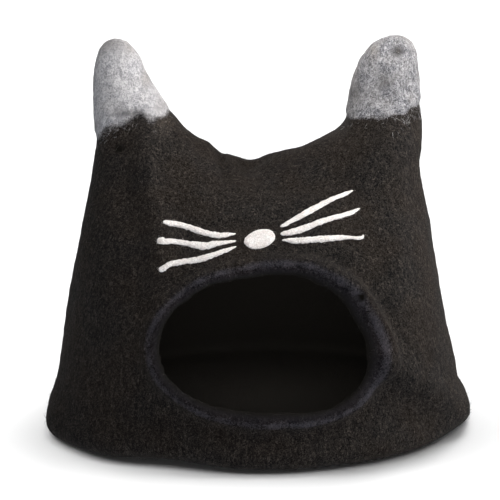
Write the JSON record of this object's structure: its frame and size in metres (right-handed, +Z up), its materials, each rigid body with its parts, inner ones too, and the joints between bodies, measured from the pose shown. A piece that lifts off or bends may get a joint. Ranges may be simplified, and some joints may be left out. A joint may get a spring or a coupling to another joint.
{
  "type": "felt cat cave",
  "caption": "Hollow wet-felted pet cave with a round flat base, an oval doorway with a rolled lip, a rounded ridge with upright ears, and a wool nose and whiskers.",
  "frame": {"origin": "middle of the flat underside, on the floor", "axes": "+X to the right seen from the front and along the ridge from ear to ear, -Y out of the doorway, +Z up"},
  "size_m": [0.4402, 0.4155, 0.3923],
  "materials": {
    "black_felt": "matt wet-felted wool, hairy and slightly pebbled",
    "grey_felt": "matt felted wool, mottled grey",
    "white_wool": "needle-felted wool strands"
  },
  "bodies": {
    "root": {"felt_body": "black_felt", "ear_tip_left": "grey_felt", "ear_tip_right": "grey_felt", "whisker_left_top": "white_wool", "whisker_left_middle": "white_wool", "whisker_left_bottom": "white_wool", "whisker_right_top": "white_wool", "whisker_right_middle": "white_wool", "whisker_right_bottom": "white_wool", "nose": "white_wool"}
  },
  "joints": []
}
